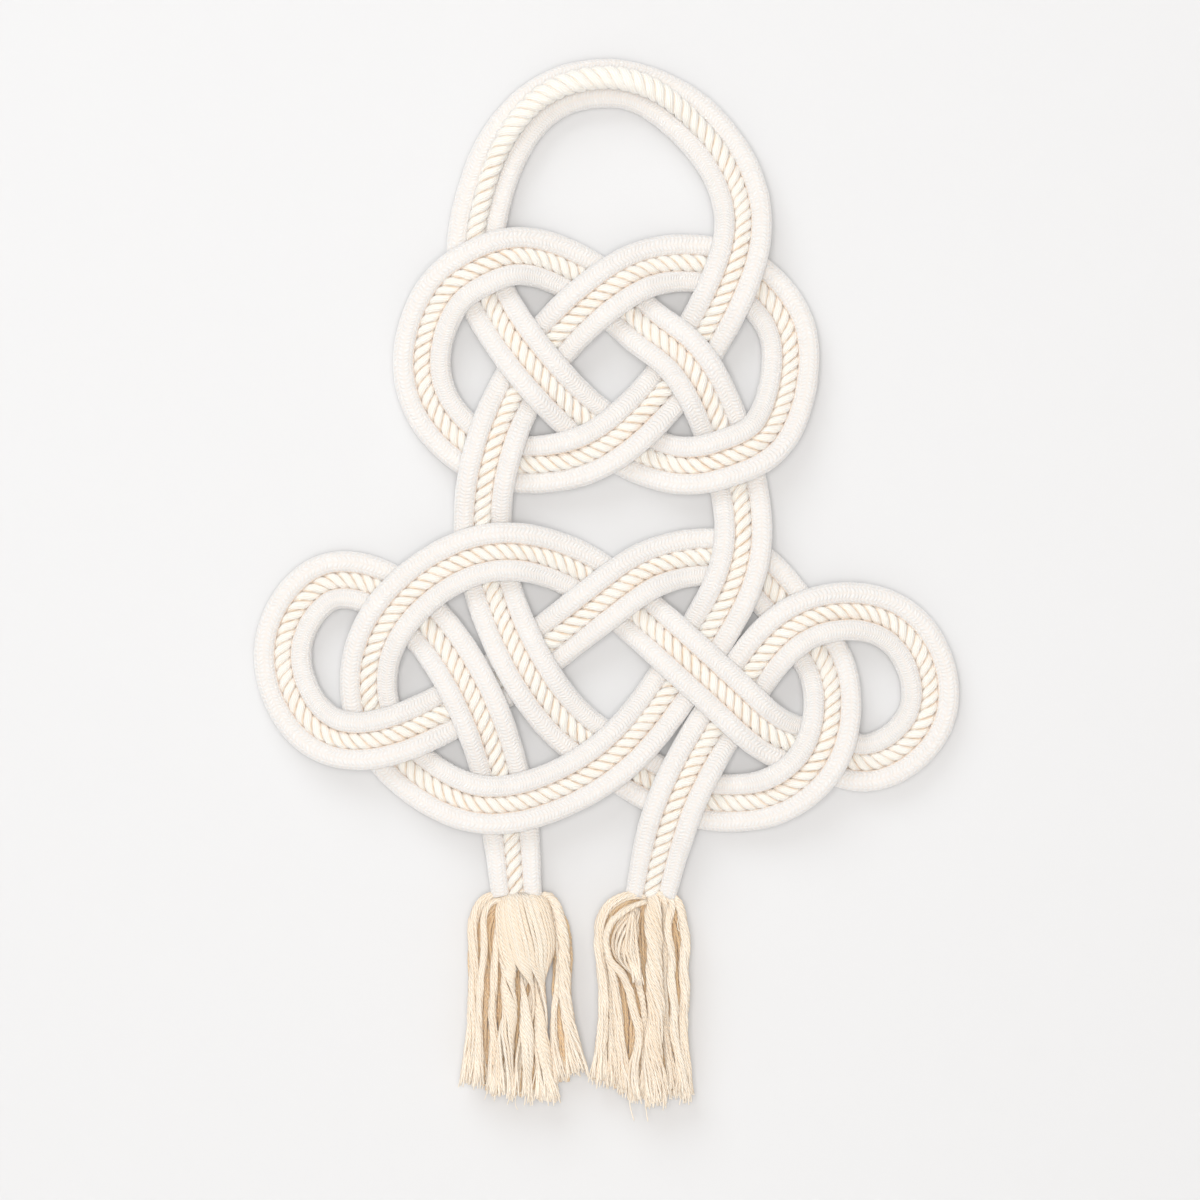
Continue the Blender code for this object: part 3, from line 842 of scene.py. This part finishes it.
# each lock of yarns: how many, how many turns of twist (less than 0 leans down to the right in
# front), its depth over its width, and its way down: across, up, out from the wall, half width
leftLocks = {
    "outer": (28, -0.8, 0.8, (
        (-91, -733, 17, 2.5), (-98, -731.6, 19, 3.5), (-107, -733.4, 21, 4.2), (-114, -741.3, 22, 4.6),
        (-117.5, -752.6, 22, 5.0), (-118.2, -767, 22, 5.2), (-117.5, -785.4, 22, 5.0),
        (-117.5, -802.4, 21, 4.8), (-118.5, -821, 20, 4.6), (-119, -842.3, 20, 5.0),
        (-120.2, -861, 20, 5.4), (-122.5, -879.3, 20, 6.0), (-125.1, -898.5, 20, 6.8))),
    "inner": (20, -0.9, 0.9, (
        (-91, -735.6, 22, 2.5), (-99.8, -735.6, 25, 3.0), (-106.2, -742, 27, 3.4), (-108.6, -752.6, 28, 3.6),
        (-108.3, -767, 28, 3.6), (-108.6, -782.5, 28, 3.6), (-110.4, -799.6, 27, 3.6),
        (-112.3, -816.7, 26, 3.6), (-112.6, -835.2, 26, 3.8), (-112.6, -856.5, 25, 4.2),
        (-113, -878, 25, 4.6), (-112.6, -897.8, 25, 5.2))),
    "beforeGap": (24, -0.7, 0.9, (
        (-91.2, -741.3, 20, 2.8), (-95.5, -754, 22, 3.2), (-97.2, -768.3, 23, 3.6), (-98.3, -782.5, 23, 3.8),
        (-99.3, -798.2, 23, 4.0), (-100.3, -813.8, 23, 4.0), (-101.2, -831, 23, 4.0),
        (-100.3, -846.5, 23, 4.2), (-99.7, -863.6, 23, 4.4), (-100, -882.1, 22, 4.8),
        (-100.9, -902, 22, 5.4))),
    "besideWindow": (20, -0.8, 0.9, (
        (-50, -738, 17, 2.6), (-47, -750, 17, 3.2), (-44.5, -766, 17, 3.6), (-43, -782, 17, 3.6),
        (-43.2, -797, 17, 3.4), (-44.6, -812, 17, 3.2), (-46.8, -832.3, 17, 3.2), (-47.7, -846.5, 17, 3.8),
        (-47.1, -863.6, 18, 4.8), (-45.4, -880.7, 18, 5.6), (-43.6, -896.3, 18, 6.4))),
    "right": (36, -1.6, 0.8, (
        (-60, -733, 16, 3.0), (-54.2, -731, 17, 3.6), (-48.5, -734.5, 19, 4.2), (-44, -744.1, 21, 5.0),
        (-40.7, -757, 22, 5.6), (-38.9, -771.1, 22, 5.8), (-38.3, -788.2, 22, 6.0), (-38, -805.3, 22, 6.0),
        (-37.1, -822.4, 22, 6.2), (-34.6, -839.4, 22, 6.6), (-31.7, -855.1, 22, 7.0),
        (-28.6, -870.7, 22, 7.6), (-25.5, -889.2, 22, 8.4))),
}

rightLocks = {
    "outerArch": (32, -0.6, 0.8, (
        (34.6, -733.3, 18, 3.0), (24.3, -731.3, 21, 4.0), (12.5, -732.8, 24, 5.0), (2.1, -738.7, 25, 5.4),
        (-5.3, -748.8, 25, 5.4), (-7.9, -762.1, 24, 5.0), (-7.9, -777, 23, 4.8), (-5.6, -794.6, 22, 5.0),
        (-3.8, -812.3, 21, 5.2), (-3.8, -830.1, 21, 5.2), (-5, -847.8, 20, 5.4), (-6.5, -864.1, 20, 5.8),
        (-7.9, -880.3, 20, 6.4), (-9.1, -897.3, 20, 7.0))),
    "innerArch": (24, -0.8, 0.9, (
        (33.9, -736.2, 24, 2.5), (24.3, -738.7, 28, 3.0), (13.2, -744.3, 31, 3.2), (4.3, -752.5, 32, 3.2),
        (-0.9, -763.6, 32, 3.4), (-1.1, -777, 31, 3.6), (1.8, -790.2, 29, 4.0), (5.1, -803.5, 27, 4.4),
        (7.3, -818.2, 25, 4.6), (8.8, -834.5, 24, 4.8), (10.2, -850.8, 24, 4.8), (11.7, -867, 23, 5.0),
        (13.6, -883.3, 23, 5.4), (15.4, -905.4, 23, 6.0))),
    "crossing": (24, -1.0, 0.9, (
        (5.1, -748.8, 32, 2.5), (-1.5, -763, 33, 2.8), (-0.5, -778.3, 34, 3.2), (4.3, -790.2, 33, 3.6),
        (11, -797.5, 32, 4.0), (16.6, -808, 31, 4.2), (20.6, -821.2, 30, 4.2), (24.3, -836, 29, 4.2),
        (27.2, -850.8, 28, 4.2), (26.5, -862.6, 27, 4.4), (23.5, -876, 26, 5.0), (22.1, -890.7, 25, 5.4),
        (22.5, -911.4, 25, 6.0))),
    "eye": (46, 0.7, 0.6, (
        (24, -741, 20, 5.0), (18.4, -753.2, 23, 10.0), (15.4, -765, 24, 13.0), (15.7, -777, 24, 13.5),
        (19.1, -787.2, 24, 11.0), (23.5, -796.1, 24, 6.5), (26.5, -806.4, 24, 3.6), (29.4, -818.2, 24, 3.0),
        (31.4, -833, 23, 3.0), (32.4, -847.8, 22, 3.4), (32.8, -865.5, 22, 3.8), (32.4, -884.8, 22, 4.2),
        (31.7, -906.9, 22, 4.6))),
    "tuft": (16, 0.2, 0.7, (
        (21, -745, 27, 4.0), (20, -762, 31, 6.0), (20.6, -777, 32, 6.5), (23.5, -788.7, 31, 5.0),
        (26.9, -800.5, 30, 3.6), (28.4, -811, 29, 3.0))),
    "centre": (58, -1.5, 0.75, (
        (39.8, -728.5, 14, 4.5), (40.3, -734, 20, 6.4), (39.4, -744.3, 26, 8.0), (39.6, -759.1, 29, 8.4),
        (40.8, -774, 29, 7.8), (40.8, -788.7, 28, 7.6), (40.5, -803.5, 28, 8.2), (41.7, -818.2, 28, 8.8),
        (42, -833, 28, 8.6), (40.2, -847.8, 28, 8.2), (39.3, -862.6, 28, 8.6), (40.2, -877.4, 27, 9.2),
        (41.3, -892.1, 27, 9.4), (42, -915, 26, 8.6))),
    "thin": (24, -1.1, 0.9, (
        (49.0, -731.5, 17, 3.0), (55.5, -736.5, 22, 3.8), (53.5, -748.8, 26, 3.8), (52.7, -762.1, 27, 3.8),
        (54.6, -775.4, 27, 3.8), (56.1, -788.7, 26, 4.0), (55.6, -803.5, 26, 4.0), (56.8, -818.2, 26, 4.2),
        (58, -833, 26, 4.4), (57.7, -847.8, 26, 4.4), (60, -862.6, 25, 4.4), (62.4, -877.4, 25, 4.6),
        (63.9, -904.7, 24, 5.2))),
    "rightEdge": (28, -1.2, 0.8, (
        (50.0, -731.5, 15, 3.0), (59, -734.2, 19, 4.0), (64.2, -747.3, 21, 4.4), (67.1, -762.1, 22, 4.8),
        (67.4, -777, 22, 5.0), (66.2, -791.6, 22, 5.0), (66.8, -806.4, 22, 5.0), (67.4, -821.2, 22, 5.0),
        (66, -837.5, 21, 4.8), (66, -853.7, 21, 5.0), (66.8, -870, 21, 5.2), (67.9, -887.7, 21, 5.4),
        (68.9, -911.4, 21, 5.8))),
    "betweenRight": (20, -0.8, 0.9, (
        (49.2, -736, 13, 2.4), (50.1, -762, 18, 3.6), (50.1, -791.6, 18, 4.0), (49.4, -815.3, 18, 4.0),
        (50.1, -836, 18, 4.0), (51.6, -855.2, 18, 4.2), (53.8, -874.4, 19, 4.6), (56.1, -892.1, 19, 5.0),
        (58, -906.9, 19, 5.4))),
    "betweenLeft": (18, -0.6, 0.9, (
        (0.6, -790, 17, 3.0), (1.8, -811, 17, 3.4), (2.8, -833, 17, 3.8), (3.6, -855.2, 17, 4.2),
        (4.3, -877.4, 17, 4.8), (3.9, -901, 17, 5.4))),
    "overEnd": (16, -0.3, 0.8, (
        (36, -731, 12, 2.6), (41, -728.6, 19, 3.2), (46, -729.4, 22, 3.6), (49.4, -735, 21, 3.6),
        (50.4, -745, 18, 3.4), (50.6, -762, 15, 3.2), (50.6, -790, 14, 3.2))),
}


# plain locks against the wall, which fill a tassel's depth; their darker tones are painted shade
backLock = {
    "yarns": 16,
    "twists": (-0.6, 0.5),  # by turns
    "flat": 0.8,
    "levels": (-734, -750, -800),  # the root's, the shoulder's and the middle's
    "outs": (13, 9, 9, 10),
    "halves": (3, 5.5, 5.5, 6),
}


def addBackLocks(locks, feet):
    look = backLock
    for k, (*places, low) in enumerate(feet):
        rows = list(zip(places, (*look["levels"], low), look["outs"], look["halves"]))
        locks[f"back{k + 1}"] = (look["yarns"], look["twists"][k % 2], look["flat"], rows)


# from left to right: across at the root, the shoulder, the middle and the foot, and the foot's level
addBackLocks(leftLocks, (
    (-86, -110.0, -118, -121, -894), (-84, -103.5, -110, -113, -898), (-82, -97.0, -102, -105, -903),
    (-80, -90.5, -94, -96, -906), (-78, -84.0, -86, -88, -908), (-74, -77.0, -78, -79, -909),
    (-71, -70.2, -70, -70, -909), (-66, -63.8, -63, -62, -905), (-62, -48.5, -44, -40, -896),
    (-60, -42.8, -37, -31, -889)))
addBackLocks(rightLocks, (
    (28, 4.8, -3, -6, -893), (30, 11.2, 5, 3, -899), (32, 17.8, 13, 11, -903), (34, 24.2, 21, 20, -906),
    (36, 31.5, 30, 29, -909), (38, 38.0, 38, 37, -910), (42, 45.0, 46, 46, -909), (46, 52.0, 54, 55, -906),
    (50, 59.0, 62, 65, -903)))

# the left tassel's front: one round fold of yarns that parts into three locks
fold = {
    "yarns": 72,
    "sections": 38,
    "samples": 200,
    "spacing": 0.3,
    "twist": -0.10,
    "flat": 0.60,
    "lockFlat": 0.85,
    "lockFill": 0.95,
    "looseness": 0.10,
    "calm": 0.5,  # its yarns lie straighter than those of the locks
    "joinTop": -784 * mm,
    "joinFoot": -812 * mm,
    "path": (
        (-75, -729, 14, 16), (-74.9, -732, 17, 20.5), (-74.4, -737, 20, 23.5), (-73.8, -744, 21.5, 25.5),
        (-73.2, -752, 22, 26.5), (-72.4, -765, 22, 27.5), (-71.8, -778.3, 21, 26.5), (-72.2, -791, 21, 23),
        (-73.4, -812, 22, 17)),
}

# each: how many turns of twist, and its way down
foldLocks = (
    (-0.8, (
        (-87.2, -780, 25, 8.5), (-87.2, -791, 25, 8.2), (-87.6, -803.9, 26, 7.4), (-87.4, -815.2, 26, 7.0),
        (-86, -826.6, 27, 7.0), (-86.2, -838, 27, 7.2), (-88.5, -849.4, 27, 7.6), (-90.1, -863.6, 26, 8.0),
        (-91.2, -878, 26, 8.0), (-92.4, -892.1, 26, 8.6), (-93.4, -906.3, 26, 9.0))),
    (-0.7, (
        (-71.3, -780, 24, 8.0), (-71.3, -791, 24, 8.0), (-70.4, -803.9, 24, 7.0), (-70, -815.2, 23, 6.8),
        (-70.4, -828, 23, 6.8), (-71, -842.3, 23, 7.0), (-71.5, -856.5, 23, 7.4), (-72.6, -870.7, 24, 7.8),
        (-74.1, -885, 24, 7.4), (-75.6, -899.2, 24, 7.8), (-76.7, -912, 24, 8.0))),
    (-0.7, (
        (-56, -780, 20, 9.0), (-56.6, -789, 20, 8.4), (-58.6, -799.6, 19, 6.2), (-59.9, -812.4, 18, 5.4),
        (-59.2, -825.2, 18, 5.6), (-58.6, -839.4, 19, 6.0), (-58.5, -853.7, 20, 6.6),
        (-57.1, -869.3, 21, 7.2), (-55.4, -885, 22, 7.0), (-53.9, -899.2, 22, 7.6),
        (-52.5, -912, 22, 8.0))),
)

# single threads: radius, then across, up, out
strays = {
    "tasselLeft": (
        (0.3, (-107, -890, 22), (-106, -902, 21), (-108, -910, 20)),
        (0.3, (-80, -905, 25), (-81, -913, 25), (-79, -918, 25)),
        (0.3, (-50, -896, 22), (-46, -903, 22), (-43, -906, 21)),
        (0.25, (-98, -900, 24), (-101, -906, 24), (-99, -911, 23)),
    ),
    "tasselRight": (
        (0.55, (17.6, -898, 25), (18.4, -907, 25), (19.8, -917.3, 25), (22.8, -927.6, 24)),
        (0.5, (32.8, -900, 24), (33.1, -910, 24), (33.4, -918.7, 24), (34.9, -928.3, 24)),
        (0.35, (62, -750, 28), (60.8, -757, 29), (62.3, -761.5, 29), (64, -758, 28), (62.6, -753, 28)),
        (0.3, (3, -835, 24), (1, -848, 25), (3.5, -858, 25), (6, -868, 25)),
        (0.3, (53, -880, 25), (56, -888, 27), (54, -896, 27), (50, -901, 27)),
        (0.3, (8, -880, 25), (5, -890, 26), (8, -899, 26)),
    ),
}


def tasselCotton(look):
    material, tree, surface, across, along = startCotton("tasselCotton", look)
    lines = placeGroup(tree, yarnLinesGroup, Across=across, Along=along, Spacing=look["ply"],
                       Slant=look["plySlant"]).outputs
    # each yarn has its own tone, held in the whole metres of its UV: a random one for the front locks and
    # the fold, painted shade on the locks at the back, and the palest, painted light, on loose threads
    number = maths(tree, "FLOOR", maths(tree, "ADD", across, 0.5))
    own = maths(tree, "MULTIPLY", number, look["toneShade"])
    around = maths(tree, "SUBTRACT", across, number)
    quarter = math.pi / 2 * look["yarnRadius"]
    # painted shade on a yarn's sides, between it and its neighbours
    edge = maths(tree, "ABSOLUTE", maths(tree, "SUBTRACT", around, quarter))
    edge = maths(tree, "SUBTRACT", edge, look["edgeFrom"])
    edge = maths(tree, "DIVIDE", edge, look["edgeWidth"], clamp=True)
    own = maths(tree, "MULTIPLY_ADD", edge, look["edgeShade"], own)
    # the half that faces the wall has little of that painted shade, so a tassel is pale from behind too
    behind = maths(tree, "ABSOLUTE", maths(tree, "SUBTRACT", around, 3 * quarter))
    behind = maths(tree, "SUBTRACT", quarter, behind)
    behind = maths(tree, "DIVIDE", behind, look["backWidth"], clamp=True)
    own = maths(tree, "MULTIPLY", own, maths(tree, "MULTIPLY_ADD", behind, -look["backPale"], 1.0))
    # painted shade in the ply grooves
    shade = maths(tree, "MULTIPLY_ADD", lines["Groove"], look["grooveShade"], own)
    bump = finishCotton(tree, surface, look, shade, lines["Height"])
    # a loose thread's relief is gentler
    feed(tree, bump, Strength=maths(tree, "ADD", number, 1.0 + look["threadRelief"], clamp=True))
    return material


def drawSeed(rng):
    return int(rng.integers(1 << 30))


def yarnSleeve(path, radius, sides, tones, rng):
    # one thin tube along a path, with its radius at each point
    look = tasselLook
    ahead = unit(np.gradient(path, axis=0))
    side = unit(np.cross(ahead, np.array([0.0, 1.0, 0.0])))
    angles = np.linspace(0, 2 * math.pi, sides + 1)
    places = rings(path, radius, side, np.cross(ahead, side), np.cos(angles[:-1]), np.sin(angles[:-1]))
    across = rng.integers(*tones) + angles * look["yarnRadius"]
    return sleeve(places, across, lengthAlong(path) + rng.uniform(0, look["slide"]))


def addYarn(tubes, path, tones, rng):
    # a yarn that ends in loose threads
    look = tasselLook
    along = np.linspace(0, 1, len(path))
    lumps = 1 + look["lumps"] * smoothNoise(along, look["lumpShare"], drawSeed(rng))
    slim = 1 - look["slim"] * np.clip((along - look["slimFrom"]) / look["slimLength"], 0, 1)
    tubes.append(yarnSleeve(path, look["yarnRadius"] * lumps * slim, look["yarnSides"], tones, rng))
    start = max(0.0, 1 - look["tipLength"] / lengthAlong(path)[-1])
    at = np.linspace(start, 1.0, look["tipSections"])
    grow = np.linspace(0, 1, look["tipSections"])[:, None] ** look["tipPower"]
    radius = np.full(look["tipSections"], look["tipRadius"])
    for _ in range(look["tipThreads"]):
        thread = np.stack([np.interp(at, along, path[:, k]) for k in range(3)], axis=1)
        spread = rng.normal(0, look["tipSpread"], 3) * np.array([1.0, look["tipDepth"], 0.0])
        longer = rng.uniform(*look["tipLonger"]) * mm
        thread = thread + grow * spread + grow * np.array([0.0, 0.0, -longer])
        tubes.append(yarnSleeve(thread, radius, look["tipSides"], look["tipTones"], rng))


def wander(path, rng, share=1.0):
    # a yarn's own small waves, larger towards its tip
    look = tasselLook
    along = lengthAlong(path)
    grow = look["waverStart"] + look["waverGrow"] * along / along[-1]
    first, second = [smoothNoise(along, look["waverWave"], drawSeed(rng)) for _ in range(2)]
    waves = np.stack([first, look["waverDepth"] * second, 0 * grow], axis=1)
    return path + share * look["waver"] * grow[:, None] * waves


def readRows(rows):
    # a lock's length, and what reads its rows at any distance down it
    points = np.array(rows, float) * mm
    knots, read = spline(points, lengthAlong(points[:, :3]))
    return knots[-1], read


def winding(share):
    # a lock's twist dies away towards its foot
    return tasselLook["windEnd"] * (1 - (1 - share) ** tasselLook["windPower"])


def fanning(left):
    # how much a lock has opened out where so much of its length is left
    look = tasselLook
    return np.clip(1 - left / look["fanLength"], 0, 1) ** look["fanPower"] * look["fan"]


def layLock(tubes, lock, tones, rng):
    look = tasselLook
    count, twist, flat, rows = lock
    count = round(count * look["yarnShare"])
    length, read = readRows(rows)
    sections = max(look["fewest"], round(length / look["step"])) + 1
    for k in range(count):
        reach = length - rng.uniform(0, look["tipLoss"])
        at = np.linspace(0, reach, sections)
        across, up, out, half = read(at).T
        middle = np.stack([across, -out, up], axis=1)
        ahead = unit(np.gradient(middle, axis=0))
        side = unit(np.stack([-ahead[:, 2], 0 * across, ahead[:, 0]], axis=1))
        front = np.cross(ahead, side)
        radius = ((k + look["innermost"]) / count) ** look["packing"]
        turn = look["goldenTurn"] * k + 2 * math.pi * twist * winding(at / length)
        room = np.maximum(half - look["yarnRadius"], look["leastRoom"]) * (1 + fanning(length - at))
        path = middle + (radius * room * np.cos(turn))[:, None] * side
        path = path + (radius * room * flat * np.sin(turn))[:, None] * front
        addYarn(tubes, wander(path, rng), tones, rng)


def layFold(tubes, rng):
    # yarns of the round fold, each of which goes on in one of the three locks
    look, count = tasselLook, fold["yarns"]
    length, readFold = readRows(fold["path"])
    foldRows = readFold(np.linspace(0, length, fold["samples"]))
    locks = []
    for twist, rows in foldLocks:
        span, read = readRows(rows)
        locks.append((twist, read(np.linspace(0, span, fold["samples"]))))
    for k in range(count):
        angle = 2 * math.pi * (k + rng.uniform(-fold["spacing"], fold["spacing"])) / count
        radius = 1 - fold["looseness"] * rng.random()
        # which lock the yarn joins, and where in it
        joined = angle + 2 * math.pi * fold["twist"]
        place = (math.cos(joined) + 1) / 2 * len(locks)
        which = min(len(locks) - 1, int(place))
        a = (2 * (place - which) - 1) * fold["lockFill"]
        b = math.copysign(math.sqrt(1 - a * a), math.sin(joined)) * radius
        twist, rows = locks[which]
        foot = rows[-1, 1] + rng.uniform(0, look["tipLoss"])
        up = np.linspace(fold["path"][0][1] * mm, foot, fold["sections"])

        def at(table, column):
            return np.interp(-up, -table[:, 1], table[:, column])

        share = np.clip((foldRows[0, 1] - up) / (foldRows[0, 1] - fold["joinFoot"]), 0, 1)
        turn = angle + 2 * math.pi * fold["twist"] * share
        half = at(foldRows, 3) - look["yarnRadius"]
        first = np.stack([at(foldRows, 0) + radius * half * np.cos(turn),
                          -at(foldRows, 2) - radius * half * fold["flat"] * np.sin(turn), up], axis=1)
        below = np.clip((fold["joinTop"] - up) / (fold["joinTop"] - foot), 0, 1)
        turn = math.atan2(b, a) + 2 * math.pi * twist * winding(below)
        size = math.hypot(a, b)
        half = (at(rows, 3) - look["yarnRadius"]) * (1 + fanning(up - foot))
        second = np.stack([at(rows, 0) + size * half * np.cos(turn),
                           -at(rows, 2) - size * half * fold["lockFlat"] * np.sin(turn), up], axis=1)
        share = np.clip((fold["joinTop"] - up) / (fold["joinTop"] - fold["joinFoot"]), 0, 1)
        share = (share * share * (3 - 2 * share))[:, None]
        path = first * (1 - share) + second * share
        addYarn(tubes, wander(path, rng, fold["calm"]), look["frontTones"], rng)


def addTassel(name, locks, withFold, material, node, seed):
    look, tubes = tasselLook, []
    rng = np.random.default_rng(seed)
    for lockName, lock in locks.items():
        # the locks at the back take tones of painted shade
        layLock(tubes, lock, look["backShadeTones" if "back" in lockName else "frontTones"], rng)
    if withFold:
        layFold(tubes, rng)
    for radius, *rows in strays[name]:
        length, read = readRows(rows)
        across, up, out = read(np.linspace(0, length, look["straySections"])).T
        path = np.stack([across, -out, up], axis=1)
        thickness = np.full(look["straySections"], radius * mm)
        tubes.append(yarnSleeve(path, thickness, look["straySides"], look["tipTones"], rng))
    addPiece(name, tubes, material, node)


tasselMaterial = tasselCotton(tasselLook)
addTassel("tasselLeft", leftLocks, True, tasselMaterial, "tassel_left", 41)
addTassel("tasselRight", rightLocks, False, tasselMaterial, "tassel_right", 43)
